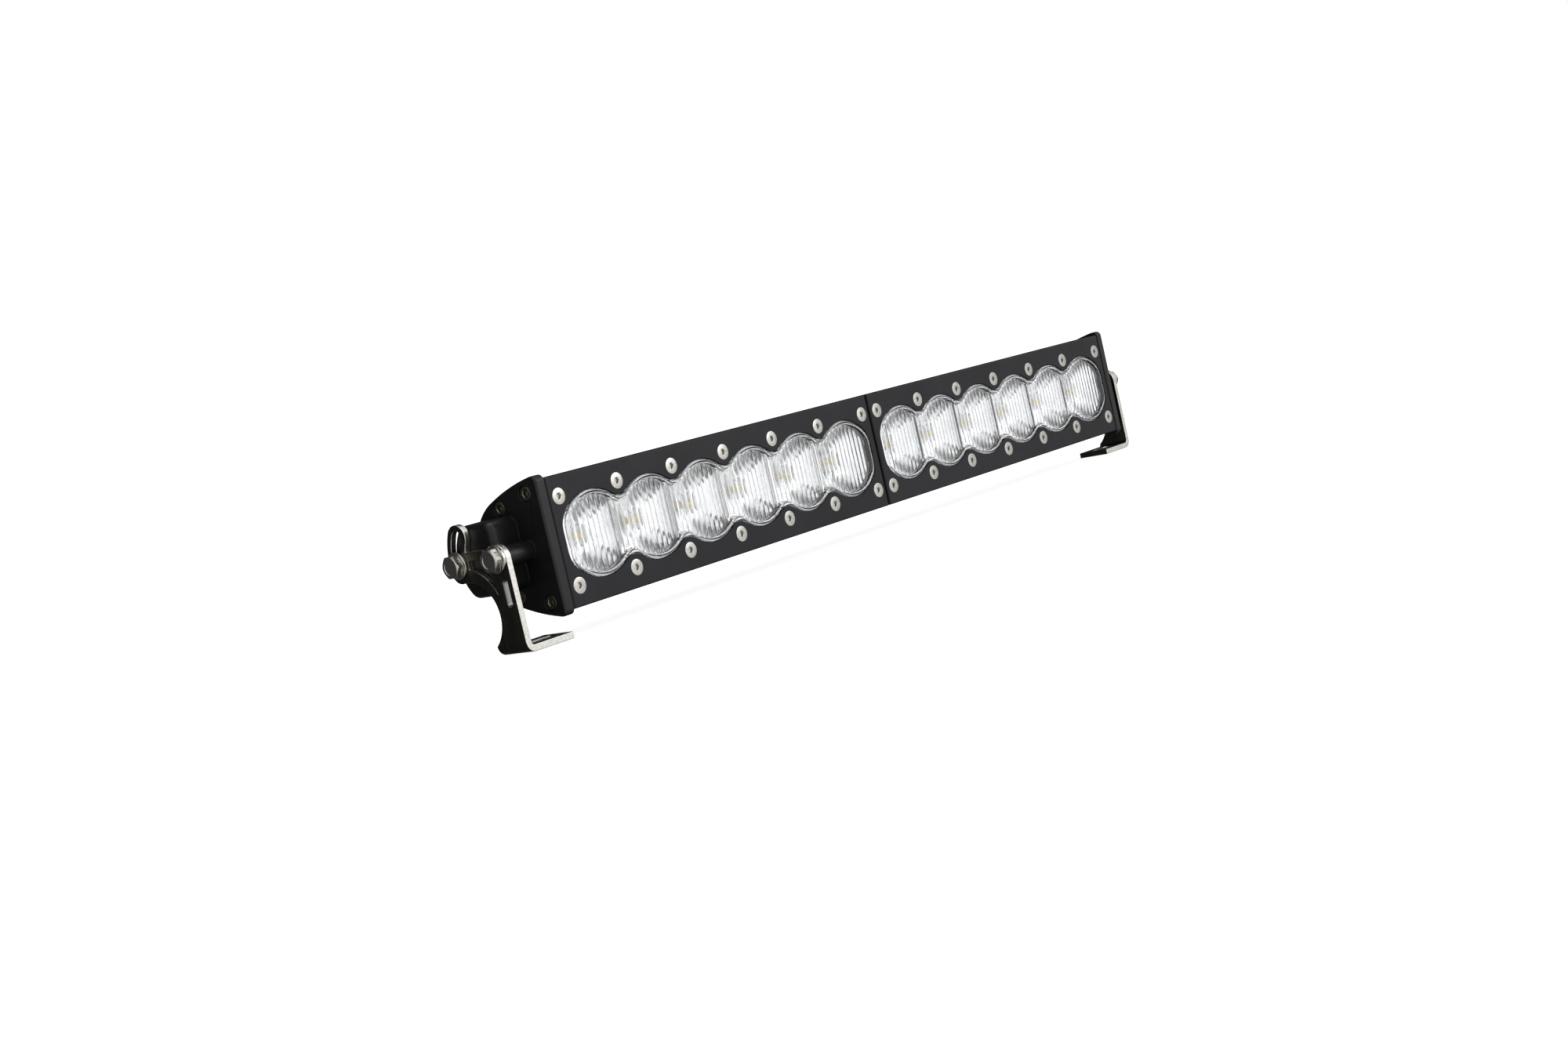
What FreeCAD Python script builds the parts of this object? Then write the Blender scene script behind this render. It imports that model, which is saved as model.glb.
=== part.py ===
import FreeCAD, Part
import math
import os

import Sketcher
from FreeCAD import Rotation, Vector

# Off-road LED light bar: two six-lobe lamp modules in one finned housing, closed by two
# D-shaped end caps, carried by two sheet brackets that tilt about pivot bolts.
#
# Design frame: x runs along the bar, y = 0 is the bezel's front face and y grows to the
# rear, z = 0 is the middle height of the bar.  Every node is then shifted so that the
# origin is under the middle of the bar, on the surface that the feet stand on.

DIMENSIONS = {
    # whole bar
    "overall_depth": 49.5,
    "axis_height": 44,
    # lamp module
    "lobe_pitch": 38.1,
    "lobe_count": 6,
    "bezel_length": 240.9,
    "bezel_height": 61,
    "bezel_thickness": 4,
    "bezel_edge": 1,
    "module_seam": 1.5,
    "end_flat": 116.2,
    "end_corner": 11.4,
    "lobe_radius": 24.4,
    "lobe_offset": 3.81,
    "valley_radius": 8.1,
    # lens, its gasket and the recess that holds them
    "lens_flange_length": 237,
    "lens_flange_height": 49.6,
    "lens_flange_thickness": 2,
    "lens_recess": 0.8,
    "lens_wall": 2.6,
    "lens_gasket_thickness": 0.8,
    "fit_gap": 0.2,
    # bezel screws
    "screw_row": 20.8,
    "screw_radius": 1.95,
    "screw_head_radius": 3.9,
    "screw_depth": 17,
    "socket_flats": 2.5,
    "socket_depth": 1.6,
    "thread_gap": 0.05,
    # optics and boards
    "tray_front": 7.4,
    "board_front": 19.8,
    "board_thickness": 1.6,
    "board_height": 29,
    "board_length": 222,
    "pad_thickness": 0.6,
    "cup_radius": 17.6,
    "cup_throat": 5.2,
    "chip_side": 5,
    "chip_thickness": 1,
    "tray_screw_row": 11,
    "tray_screw_radius": 1.5,
    "tray_head_radius": 2.6,
    "tray_head_height": 1.6,
    # driver tunnel
    "tunnel_front": 25,
    "tunnel_depth": 12,
    "tunnel_height": 24,
    "tunnel_wall": 3,
    "driver_front": 26.5,
    "driver_length": 100,
    "driver_height": 25,
    "lead_radius": 0.9,
    "lead_spacing": 3,
    "lead_hole_radius": 4,
    # housing section
    "housing_back_radius": 24.2,
    "back_centre": 23.5,
    "shoulder_angle": 66,
    "housing_shoulder": 9,
    "fin_pitch": 5.5,
    "fin_gap": 2.8,
    "rib_pitch": 5,
    "rib_gap": 2,
    "rib_depth": 2.4,
    "rib_start": 14,
    "rib_taper": 0.18,
    # lead gland and breather
    "gland_place": 190,
    "gland_pocket_radius": 11,
    "gland_thread_radius": 6,
    "gland_flats": 16,
    "gland_bore": 3,
    "gland_thread_reach": 5.5,
    "gland_collar": 2.6,
    "seal_wall": 1.45,
    "seal_length": 5.8,
    "nut_start": 2.7,
    "nut_dome_radius": 7.2,
    "nut_length": 6,
    "nut_flats_length": 3.4,
    "nut_thread_depth": 3.2,
    "vent_radius": 8,
    "vent_cap": 4.5,
    "vent_channel_radius": 1.5,
    # end caps
    "cap_thickness": 5.5,
    "cap_gasket": 0.5,
    "cap_gasket_inset": 0.3,
    "cap_half_height": 32.5,
    "cap_back_radius": 26,
    "cap_shoulder": 4,
    "cap_edge": 0.8,
    "cap_corner": 3,
    "boss_length": 16.35,
    "boss_half_height": 17,
    "boss_front": 18.5,
    "boss_inset": 2.2,
    "boss_corner": 5,
    "boss_edge": 3.5,
    "post_radius": 5,
    "cap_screw_front": 8.8,
    "cap_screw_high": 25.3,
    "cap_screw_rear": 28,
    "cap_screw_low": 20.8,
    "cap_head_radius": 3.5,
    "cap_head_height": 3,
    "cap_screw_length": 13,
    "cap_socket_flats": 3,
    "cap_socket_depth": 2,
    "counterbore_radius": 3.7,
    "counterbore_depth": 3.4,
    # brackets and their bolts
    "bracket_thickness": 3.2,
    "bracket_gap": 0.1,
    "pivot_place": 15,
    "lug_radius": 6.5,
    "slot_radius": 26.5,
    "slot_half_width": 3.2,
    "band_half_width": 6,
    "slot_sweep": 28,
    "foot_width": 20,
    "foot_reach": 29,
    "foot_slot_half_width": 3.5,
    "foot_slot_length": 18,
    "foot_slot_place": 17,
    "bend_inside": 1.6,
    "bolt_radius": 3,
    "pivot_fit": 0.05,
    "bolt_flats": 10,
    "bolt_head": 4,
    "bolt_reach": 14,
    "washer_radius": 6.4,
    "washer_thickness": 1.2,
}

DOC = FreeCAD.newDocument("light_bar")
SIZE = DOC.addObject("Spreadsheet::Sheet", "size")
for row, (alias, number) in enumerate(DIMENSIONS.items(), start=1):
    SIZE.set(f"A{row}", alias)
    SIZE.set(f"B{row}", str(number))
    SIZE.setAlias(f"B{row}", alias)
DOC.recompute()

NODES = []
ALONG_X = Rotation(Vector(0, 1, 0), 90)
ALONG_Y = Rotation(Vector(1, 0, 0), -90)
TINY = 0.01
HALF_BAR = "(size.bezel_length + size.module_seam / 2)"
CAP_FACE = f"({HALF_BAR} + size.cap_gasket + size.cap_thickness)"
BRACKET_INNER = f"({CAP_FACE} + size.boss_length + size.bracket_gap)"
BRACKET_OUTER = f"({BRACKET_INNER} + size.bracket_thickness)"
TUNNEL_BACK = "(size.tunnel_front + size.tunnel_depth + size.tunnel_wall)"


def dim(alias):
    """A driving dimension, read back from the sheet."""
    return float(SIZE.get(alias))


def bind(thing, formulas):
    """Tie each property of thing to its formula."""
    for name, formula in formulas.items():
        thing.setExpression(name, str(formula))


def place(thing, x="0", y="0", z="0"):
    """Put thing at a point given by formulas."""
    bind(thing, {"Placement.Base.x": x, "Placement.Base.y": y, "Placement.Base.z": z})
    return thing


def node(thing, label, x="0"):
    """Name a finished sub-part and shift it to the bar's origin."""
    thing.Label = label
    place(thing, x=x, y="-size.overall_depth / 2", z="size.axis_height")
    NODES.append(thing)
    return thing


def mirrored(source, label):
    """The same sub-part at the other end of the bar."""
    twin = DOC.addObject("Part::Mirroring", label)
    twin.Source = source
    twin.Base = Vector(0, 0, 0)
    twin.Normal = Vector(1, 0, 0)
    twin.Label = label
    NODES.append(twin)
    return twin


def pair(thing, name, x="0"):
    """A sub-part at the left end and its twin at the right end."""
    node(thing, f"{name}_left", x)
    mirrored(thing, f"{name}_right")


# Primitives whose sizes and places are formulas.


def block(name, size, corner):
    solid = DOC.addObject("Part::Box", name)
    bind(solid, dict(zip(("Length", "Width", "Height"), size)))
    return place(solid, *corner)


def rod(name, radius, length, axis, start):
    solid = DOC.addObject("Part::Cylinder", name)
    bind(solid, {"Radius": radius, "Height": length})
    solid.Placement.Rotation = axis
    return place(solid, *start)


def hexagon(name, flats, length, axis, start):
    solid = DOC.addObject("Part::Prism", name)
    bind(solid, {"Circumradius": f"({flats}) / sqrt(3)", "Height": length})
    solid.Polygon = 6
    solid.Placement.Rotation = axis
    return place(solid, *start)


def cut(name, base, tool):
    result = DOC.addObject("Part::Cut", name)
    result.Base = base
    result.Tool = tool
    return result


def fuse(name, *pieces):
    result = DOC.addObject("Part::MultiFuse", name)
    result.Shapes = list(pieces)
    return result


def group(name, *pieces):
    result = DOC.addObject("Part::Compound", name)
    result.Links = list(pieces)
    return result


def feature(name, shape):
    """A sub-part whose shape is worked out below from the sheet's values."""
    result = DOC.addObject("Part::Feature", name)
    result.Shape = shape
    return result


# Sketches on a body's own origin planes.


def plane_sketch(body, name, role="YZ_Plane"):
    plane = [item for item in body.Origin.OriginFeatures if item.Role == role][0]
    sketch = body.newObject("Sketcher::SketchObject", name)
    sketch.AttachmentSupport = [(plane, "")]
    sketch.MapMode = "FlatFace"
    return sketch


def join_ends(sketch, first, second):
    """Make the two nearest ends of two edges coincide."""
    ends = [(a, b) for a in (1, 2) for b in (1, 2)]
    gap = [
        sketch.getPoint(first, a).distanceToPoint(sketch.getPoint(second, b))
        for a, b in ends
    ]
    a, b = ends[gap.index(min(gap))]
    sketch.addConstraint(Sketcher.Constraint("Coincident", first, a, second, b))


def draw_loop(sketch, edges):
    ids = [sketch.addGeometry(edge, False) for edge in edges]
    for first, second in zip(ids, ids[1:] + ids[:1]):
        join_ends(sketch, first, second)
    return ids


def draw_circle(sketch, radius, y, z):
    """A circle whose radius and centre are formulas."""
    centre = Vector(1, 1, 0)
    index = sketch.addGeometry(Part.Circle(centre, Vector(0, 0, 1), 1), False)
    for kind, name, formula in (
        ("Radius", "radius", radius),
        ("DistanceX", "across", y),
        ("DistanceY", "up", z),
    ):
        if kind == "Radius":
            number = sketch.addConstraint(Sketcher.Constraint(kind, index, 1))
        else:
            number = sketch.addConstraint(Sketcher.Constraint(kind, -1, 1, index, 3, 1))
        label = f"{name}_{index}"
        sketch.renameConstraint(number, label)
        sketch.setExpression(f"Constraints.{label}", formula)


def line(start, end):
    return Part.LineSegment(Vector(*start, 0), Vector(*end, 0))


def arc(start, middle, end):
    return Part.Arc(Vector(*start, 0), Vector(*middle, 0), Vector(*end, 0))


def polar(centre, radius, degrees):
    angle = math.radians(degrees)
    return (centre[0] + radius * math.cos(angle), centre[1] + radius * math.sin(angle))


def round_arc(centre, radius, first, last):
    """An arc about a centre, from one angle to another, in degrees."""
    middle = polar(centre, radius, (first + last) / 2)
    return arc(polar(centre, radius, first), middle, polar(centre, radius, last))


def rectangle(low, high):
    corners = [low, (high[0], low[1]), high, (low[0], high[1])]
    return [line(a, b) for a, b in zip(corners, corners[1:] + corners[:1])]


def pad(body, sketch, length, inward=False, middle=False):
    result = body.newObject("PartDesign::Pad", f"{sketch.Name}_pad")
    result.Profile = sketch
    result.Reversed = inward
    result.Midplane = middle
    result.setExpression("Length", length)
    body.Tip = result
    DOC.recompute()
    return result


def pocket(body, sketch, length, reverse=False, middle=False):
    """Cut a pocket and make sure that it removed something."""
    before = body.Shape.Volume
    result = body.newObject("PartDesign::Pocket", f"{sketch.Name}_pocket")
    result.Profile = sketch
    result.Reversed = reverse
    result.Midplane = middle
    result.setExpression("Length", length)
    body.Tip = result
    DOC.recompute()
    if body.Shape.Volume >= before:
        raise RuntimeError(f"{result.Name} cuts nothing")
    return result


def dress(body, kind, base, size, chosen):
    """Fillet or chamfer the edges of base's shape for which chosen(edge) is true."""
    names = [f"Edge{i}" for i, edge in enumerate(base.Shape.Edges, 1) if chosen(edge)]
    result = body.newObject(f"PartDesign::{kind}", f"{base.Name}_{kind.lower()}")
    result.Base = (base, names)
    result.setExpression("Radius" if kind == "Fillet" else "Size", size)
    body.Tip = result
    DOC.recompute()
    return result


# The D section shared by the housing and the end caps.


def d_outline(front, half_height, shoulder, radius, corner=0):
    """Flat front, nearly straight shoulders and a round back, in (y, z)."""
    centre = (dim("back_centre"), 0)
    angle = dim("shoulder_angle")
    joint = polar(centre, radius, angle)
    start = (shoulder, half_height)
    span = (joint[0] - start[0], joint[1] - start[1])
    chord = math.hypot(*span)
    normal = polar((0, 0), 1, angle)
    big = chord**2 / (2 * (span[0] * normal[0] + span[1] * normal[1]))
    rise = big - math.sqrt(big**2 - chord**2 / 4)
    middle = (
        (start[0] + joint[0]) / 2 - span[1] / chord * rise,
        (start[1] + joint[1]) / 2 + span[0] / chord * rise,
    )

    def down(point):
        return (point[0], -point[1])

    straight = half_height - corner
    turn = (front + corner, straight)
    edges = [
        line((front, -straight), (front, straight)),
        line((front + corner, half_height), start),
        arc(start, middle, joint),
        round_arc(centre, radius, angle, -angle),
        arc(down(joint), down(middle), down(start)),
        line(down(start), (front + corner, -half_height)),
    ]
    if corner:
        edges.insert(1, round_arc(turn, corner, 180, 90))
        edges.append(round_arc(down(turn), corner, -90, -180))
    return edges


# The lobed outline shared by bezel opening, lens, gasket, cavity and reflector tray.


def lobed_face(grow, y):
    """Face in the plane of constant y, inside the lobed outline grown by grow."""
    pitch = dim("lobe_pitch")
    count = int(dim("lobe_count"))
    lobe = dim("lobe_radius") + grow
    valley = dim("valley_radius") - grow
    corner = dim("end_corner") + grow
    end = dim("end_flat") + grow
    drop = dim("lobe_offset")
    centres = [(i - (count - 1) / 2) * pitch for i in range(count)]
    reach = dim("lobe_radius") + dim("valley_radius")
    lift = math.sqrt(reach**2 - (pitch / 2) ** 2)
    lean = math.degrees(math.atan2(lift, pitch / 2))
    corner_x = dim("end_flat") - dim("end_corner") - centres[-1]
    corner_z = math.sqrt((dim("lobe_radius") - dim("end_corner")) ** 2 - corner_x**2)
    turn = math.degrees(math.atan2(corner_z, corner_x))
    flat = corner_z - drop

    top = [round_arc((centres[0] - corner_x, flat), corner, 180, 180 - turn)]
    for i, x in enumerate(centres):
        first = 180 - turn if i == 0 else 180 - lean
        last = turn if i == count - 1 else lean
        top.append(round_arc((x, -drop), lobe, first, last))
        if i < count - 1:
            top.append(round_arc((x + pitch / 2, lift - drop), valley, 180 + lean, 360 - lean))
    top.append(round_arc((centres[-1] + corner_x, flat), corner, turn, 0))

    edges = [part.toShape() for part in top]
    lower = [edge.mirror(Vector(0, 0, 0), Vector(0, 1, 0)) for edge in edges]
    sides = [line((x, -flat), (x, flat)).toShape() for x in (-end, end)]
    wire = Part.Wire(Part.__sortEdges__(edges + lower + sides))
    face = Part.Face(wire)
    face.rotate(Vector(0, 0, 0), Vector(1, 0, 0), 90)
    face.translate(Vector(0, y, 0))
    return face


def lobed_prism(grow, front, back):
    return lobed_face(grow, front).extrude(Vector(0, back - front, 0))


def plate(length, front, back, height):
    """A plate centred on the module, between two depths."""
    corner = Vector(-length / 2, front, -height / 2)
    return Part.makeBox(length, back - front, height, corner)


def drilled(shape, tools):
    return shape.cut(Part.makeCompound(tools))


def rod_y(radius, front, back, x, z):
    return Part.makeCylinder(radius, back - front, Vector(x, front, z), Vector(0, 1, 0))


def screw_places():
    """The two rows of bezel screws of one module."""
    half = int(dim("lobe_count")) // 2
    columns = [i * dim("lobe_pitch") for i in range(-half, half + 1)]
    return [(x, z) for z in (-dim("screw_row"), dim("screw_row")) for x in columns]


def lobe_places():
    count = int(dim("lobe_count"))
    return [(i - (count - 1) / 2) * dim("lobe_pitch") for i in range(count)]


def tray_screw_places():
    columns = [i * 2 * dim("lobe_pitch") for i in (-1, 0, 1)]
    return [(x, z) for z in (-dim("tray_screw_row"), dim("tray_screw_row")) for x in columns]


def module_x():
    return -(dim("bezel_length") + dim("module_seam")) / 2


def module_feature(name, shape):
    """A sub-part of the left module, drawn about x = 0, and its twin."""
    pair(feature(name, shape), name, "-(size.bezel_length + size.module_seam) / 2")


def flange_front():
    return dim("bezel_thickness")


def recess_bottom():
    return flange_front() + dim("lens_flange_thickness") + dim("lens_gasket_thickness")


def bezel():
    face = plate(dim("bezel_length"), 0, dim("bezel_thickness"), dim("bezel_height"))
    rims = [e for e in face.Edges if e.BoundBox.YMax < TINY]
    face = face.makeFillet(dim("bezel_edge"), rims)
    face = face.cut(lobed_prism(0, -1, dim("bezel_thickness") + 1))
    head = dim("screw_head_radius") + 2 * dim("thread_gap")
    shank = dim("screw_radius") + 3 * dim("thread_gap")
    tools = []
    for x, z in screw_places():
        tools.append(Part.makeCone(head, shank, head - shank, Vector(x, 0, z), Vector(0, 1, 0)))
        tools.append(rod_y(shank, 0, dim("bezel_thickness") + 1, x, z))
    module_feature("bezel", drilled(face, tools))


def lens():
    gap = dim("fit_gap")
    front = flange_front()
    back = front + dim("lens_flange_thickness")
    wall = dim("lens_wall")
    body = plate(dim("lens_flange_length"), front, back, dim("lens_flange_height"))
    body = body.fuse(lobed_prism(-gap, dim("lens_recess"), back))
    body = body.cut(lobed_prism(-gap - wall, dim("lens_recess") + wall, back + 1))
    holes = [rod_y(dim("screw_radius") + gap, 0, back + 1, x, z) for x, z in screw_places()]
    module_feature("lens", drilled(body, holes))


def lens_gasket():
    gap = dim("fit_gap")
    front = flange_front() + dim("lens_flange_thickness")
    back = front + dim("lens_gasket_thickness")
    ring = plate(dim("lens_flange_length"), front, back, dim("lens_flange_height"))
    ring = ring.cut(lobed_prism(3 * gap, front - 1, back + 1))
    holes = [rod_y(dim("screw_radius") + gap, front - 1, back + 1, x, z) for x, z in screw_places()]
    module_feature("lens_gasket", drilled(ring, holes))


def bezel_screws():
    radius = dim("screw_radius")
    head = dim("screw_head_radius")
    screws = []
    for x, z in screw_places():
        cone = Part.makeCone(head, radius, head - radius, Vector(x, 0, z), Vector(0, 1, 0))
        screw = cone.fuse(rod_y(radius, 0, dim("screw_depth"), x, z))
        socket = hex_prism(dim("socket_flats"), dim("socket_depth") + 1, x, z)
        screws.append(screw.cut(socket))
    module_feature("bezel_screws", Part.makeCompound(screws))


def hex_prism(flats, length, x, z):
    """A hexagonal hole that opens at y = -1 and runs to the rear."""
    corner = flats / math.sqrt(3)
    points = [polar((x, z), corner, 60 * i) for i in range(7)]
    wire = Part.makePolygon([Vector(px, -1, pz) for px, pz in points])
    return Part.Face(wire).extrude(Vector(0, length, 0))


def reflector_tray():
    front = dim("tray_front")
    back = dim("board_front")
    tray = lobed_prism(3 * dim("fit_gap"), front, back)
    tools = []
    for x in lobe_places():
        start = Vector(x, front, 0)
        tools.append(
            Part.makeCone(
                dim("cup_radius"), dim("cup_throat"), back - front, start, Vector(0, 1, 0)
            )
        )
    for x, z in tray_screw_places():
        seat = dim("tray_head_height") + dim("fit_gap")
        tools.append(rod_y(dim("tray_head_radius") + dim("fit_gap"), front, front + seat, x, z))
        tools.append(rod_y(dim("tray_screw_radius") + dim("fit_gap"), front, back, x, z))
    module_feature("reflector_tray", drilled(tray, tools))


def tray_screws():
    front = dim("tray_front") + dim("fit_gap")
    seat = front + dim("tray_head_height")
    screws = []
    for x, z in tray_screw_places():
        head = rod_y(dim("tray_head_radius"), front, seat, x, z)
        shank = rod_y(dim("tray_screw_radius"), front, dim("tunnel_front") - 1, x, z)
        screws.append(head.fuse(shank))
    module_feature("tray_screws", Part.makeCompound(screws))


def led_board():
    front = dim("board_front")
    board = plate(dim("board_length"), front, front + dim("board_thickness"), dim("board_height"))
    radius = dim("tray_screw_radius") + dim("fit_gap")
    holes = [rod_y(radius, front - 1, front + 4, x, z) for x, z in tray_screw_places()]
    module_feature("led_board", drilled(board, holes))


def thermal_pad():
    front = dim("board_front") + dim("board_thickness")
    pad_plate = plate(dim("board_length"), front, front + dim("pad_thickness"), dim("board_height"))
    radius = dim("tray_screw_radius") + dim("fit_gap")
    holes = [rod_y(radius, front - 1, front + 2, x, z) for x, z in tray_screw_places()]
    holes.append(rod_y(dim("lead_hole_radius"), front - 1, front + 2, 0, 0))
    module_feature("thermal_pad", drilled(pad_plate, holes))


def led_chips():
    side = dim("chip_side")
    front = dim("board_front") - dim("chip_thickness")
    chips = [
        Part.makeBox(side, dim("chip_thickness"), side, Vector(x - side / 2, front, -side / 2))
        for x in lobe_places()
    ]
    module_feature("led_chips", Part.makeCompound(chips))


def driver():
    """Driver board in the tunnel's grooves, with its parts and the two leads."""
    front = dim("driver_front")
    back = front + dim("board_thickness")
    board = plate(dim("driver_length"), front, back, dim("driver_height"))
    module_feature("driver_board", board)
    # radius, height and place of each round part
    rounds = ((5, 6.5, -30, 0), (3.2, 8, -18, 5), (3.2, 8, -18, -5), (5, 6.5, 20, 0))
    parts = [rod_y(radius, back, back + height, x, z) for radius, height, x, z in rounds]
    # width, height, length and place of each square part
    squares = ((9, 1.6, 9, 0.5), (8, 6, 12, 38))
    for width, height, length, x in squares:
        corner = Vector(x - width / 2, back, -length / 2)
        parts.append(Part.makeBox(width, height, length, corner))
    module_feature("driver_parts", Part.makeCompound(parts))
    start = dim("board_front") + dim("board_thickness")
    half = dim("lead_spacing") / 2
    leads = [rod_y(dim("lead_radius"), start, front, 0, z) for z in (-half, half)]
    module_feature("board_leads", Part.makeCompound(leads))


# Housing: extruded D section, then the recesses and holes milled into it.


def housing_section():
    body = DOC.addObject("PartDesign::Body", "housing_section")
    outline = plane_sketch(body, "housing_outline")
    half_height = dim("bezel_height") / 2
    edges = d_outline(
        flange_front(), half_height, dim("housing_shoulder"), dim("housing_back_radius")
    )
    draw_loop(outline, edges)
    length = f"2 * {HALF_BAR}"
    pad(body, outline, length, middle=True)

    slots = plane_sketch(body, "fin_slots")
    half_gap = dim("fin_gap") / 2
    tunnel_back = dim("tunnel_front") + dim("tunnel_depth") + dim("tunnel_wall")
    shallow = dim("tunnel_front") + dim("tunnel_wall")
    rear = dim("back_centre") + dim("housing_back_radius") + 1
    for i in range(-3, 4):
        z = i * dim("fin_pitch")
        start = tunnel_back if abs(i) < 3 else shallow
        draw_loop(slots, rectangle((start, z - half_gap), (rear, z + half_gap)))
    for i in range(3):
        y = dim("rib_start") + i * dim("rib_pitch")
        depth = half_height - dim("rib_depth") - dim("rib_taper") * (y - dim("housing_shoulder"))
        draw_loop(slots, rectangle((y, depth), (y + dim("rib_gap"), half_height + 1)))
        draw_loop(slots, rectangle((y, -half_height - 1), (y + dim("rib_gap"), -depth)))
    pocket(body, slots, f"{length} + 2", middle=True)

    tunnel = plane_sketch(body, "driver_tunnel")
    front = dim("tunnel_front")
    half_tunnel = dim("tunnel_height") / 2
    groove = dim("driver_front") - dim("thread_gap")
    groove_end = dim("driver_front") + dim("board_thickness") + dim("thread_gap")
    groove_z = dim("driver_height") / 2 + dim("thread_gap")
    right = [
        (front, half_tunnel),
        (groove, half_tunnel),
        (groove, groove_z),
        (groove_end, groove_z),
        (groove_end, half_tunnel),
        (front + dim("tunnel_depth"), half_tunnel),
    ]
    left = [(y, -z) for y, z in reversed(right)]
    corners = right + left
    draw_loop(tunnel, [line(a, b) for a, b in zip(corners, corners[1:] + corners[:1])])
    pocket(body, tunnel, f"{length} + 2", middle=True)
    return body


def milled_tools():
    """Everything cut into the extrusion, for both modules and both ends."""
    gap = dim("fit_gap")
    tools = []
    recess_length = dim("lens_flange_length") + 2 * gap
    recess_height = dim("lens_flange_height") + 2 * gap
    floor = dim("board_front") + dim("board_thickness") + dim("pad_thickness")
    for x0 in (module_x(), -module_x()):
        module = [plate(recess_length, flange_front() - 1, recess_bottom(), recess_height)]
        module.append(lobed_prism(1, flange_front(), floor))
        module += [
            rod_y(dim("screw_radius") + dim("thread_gap"), 0, dim("screw_depth") + 1, x, z)
            for x, z in screw_places()
        ]
        module += [
            rod_y(dim("tray_screw_radius") + dim("thread_gap"), 0, dim("tunnel_front") + 1, x, z)
            for x, z in tray_screw_places()
        ]
        module.append(rod_y(dim("lead_hole_radius"), 0, dim("tunnel_front") + 1, 0, 0))
        for tool in module:
            tool.translate(Vector(x0, 0, 0))
        tools += module
    wall_front = dim("tunnel_front") + dim("tunnel_depth") - 1
    wall_back = wall_front + 1 + dim("tunnel_wall")
    for x in (-dim("gland_place"), dim("gland_place")):
        thread = dim("gland_thread_radius") + dim("thread_gap")
        tools.append(rod_y(thread, wall_front, wall_back + 1, x, 0))
        tools.append(rod_y(dim("gland_pocket_radius"), wall_back, dim("overall_depth") + 1, x, 0))
    end = dim("bezel_length") + dim("module_seam") / 2
    for side in (-1, 1):
        for y, z in cap_screw_places():
            start = Vector(side * (end + 1), y, z)
            radius = dim("screw_radius") + dim("thread_gap")
            depth = dim("cap_screw_length") + 1
            tools.append(Part.makeCylinder(radius, depth, start, Vector(-side, 0, 0)))
    return Part.makeCompound(tools)


def housing():
    tools = feature("housing_tools", milled_tools())
    node(cut("housing", housing_section(), tools), "housing")


# Lead gland and breather, sunk among the fins at the back.


def gland_and_vent():
    back = TUNNEL_BACK
    x = "-size.gland_place"
    wall = "size.tunnel_front + size.tunnel_depth"
    thread_length = "size.tunnel_wall + size.gland_thread_reach"
    thread = rod("gland_thread", "size.gland_thread_radius", thread_length, ALONG_Y,
                 (x, wall, "0"))
    collar = hexagon("gland_collar", "size.gland_flats", "size.gland_collar", ALONG_Y,
                     (x, back, "0"))
    seal_room = "size.gland_bore + size.seal_wall + size.thread_gap"
    bore = rod("gland_bore", seal_room, "size.overall_depth", ALONG_Y, (x, wall + " - 1", "0"))
    node(cut("gland_body_cut", fuse("gland_solid", thread, collar), bore), "gland_body")

    outer = rod("seal_outer", "size.gland_bore + size.seal_wall", "size.seal_length", ALONG_Y,
                (x, back, "0"))
    inner = rod("seal_inner", "size.gland_bore", "size.seal_length + 2", ALONG_Y,
                (x, back + " - 1", "0"))
    node(cut("gland_seal_cut", outer, inner), "gland_seal")

    start = f"{back} + size.nut_start"
    dome = rod("nut_dome", "size.nut_dome_radius", "size.nut_length", ALONG_Y, (x, start, "0"))
    flats = hexagon("nut_flats", "size.gland_flats", "size.nut_flats_length", ALONG_Y,
                    (x, start, "0"))
    thread_room = rod("nut_thread", "size.gland_thread_radius + size.thread_gap",
                      "size.nut_thread_depth + 1", ALONG_Y, (x, f"{start} - 1", "0"))
    mouth = rod("nut_mouth", "size.gland_bore + size.fit_gap", "size.overall_depth", ALONG_Y,
                (x, back, "0"))
    room = fuse("nut_room", thread_room, mouth)
    node(cut("gland_nut_cut", fuse("nut_solid", dome, flats), room), "gland_nut")

    x = "size.gland_place"
    stem = rod("vent_stem", "size.gland_thread_radius", "size.tunnel_wall", ALONG_Y,
               (x, wall, "0"))
    cap = rod("vent_cap", "size.vent_radius", "size.vent_cap", ALONG_Y, (x, back, "0"))
    channel = rod("vent_channel", "size.vent_channel_radius", "size.overall_depth", ALONG_Y,
                  (x, wall + " - 1", "0"))
    node(cut("vent_cut", fuse("vent_solid", stem, cap), channel), "breather_vent")


# End caps, gaskets and screws.


def cap_screw_places():
    places = []
    for side in (-1, 1):
        places.append((dim("cap_screw_front"), side * dim("cap_screw_high")))
        places.append((dim("cap_screw_rear"), side * dim("cap_screw_low")))
    return places


def boss_outline():
    """Thick lug behind the pivot, whose back follows the cap's round back."""
    top = dim("boss_half_height")
    front = dim("boss_front")
    corner = dim("boss_corner")
    centre = (dim("back_centre"), 0)
    radius = dim("cap_back_radius") - dim("boss_inset")
    rise = top - corner
    rear = centre[0] + math.sqrt((radius - corner) ** 2 - rise**2)
    angle = math.degrees(math.atan2(rise, rear - centre[0]))
    return [
        line((front, -rise), (front, rise)),
        round_arc((front + corner, rise), corner, 180, 90),
        line((front + corner, top), (rear, top)),
        round_arc((rear, rise), corner, 90, angle),
        round_arc(centre, radius, angle, -angle),
        round_arc((rear, -rise), corner, -angle, -90),
        line((rear, -top), (front + corner, -top)),
        round_arc((front + corner, -rise), corner, 270, 180),
    ]


def on_outer_face(edge):
    return edge.BoundBox.XMax < TINY


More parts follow.
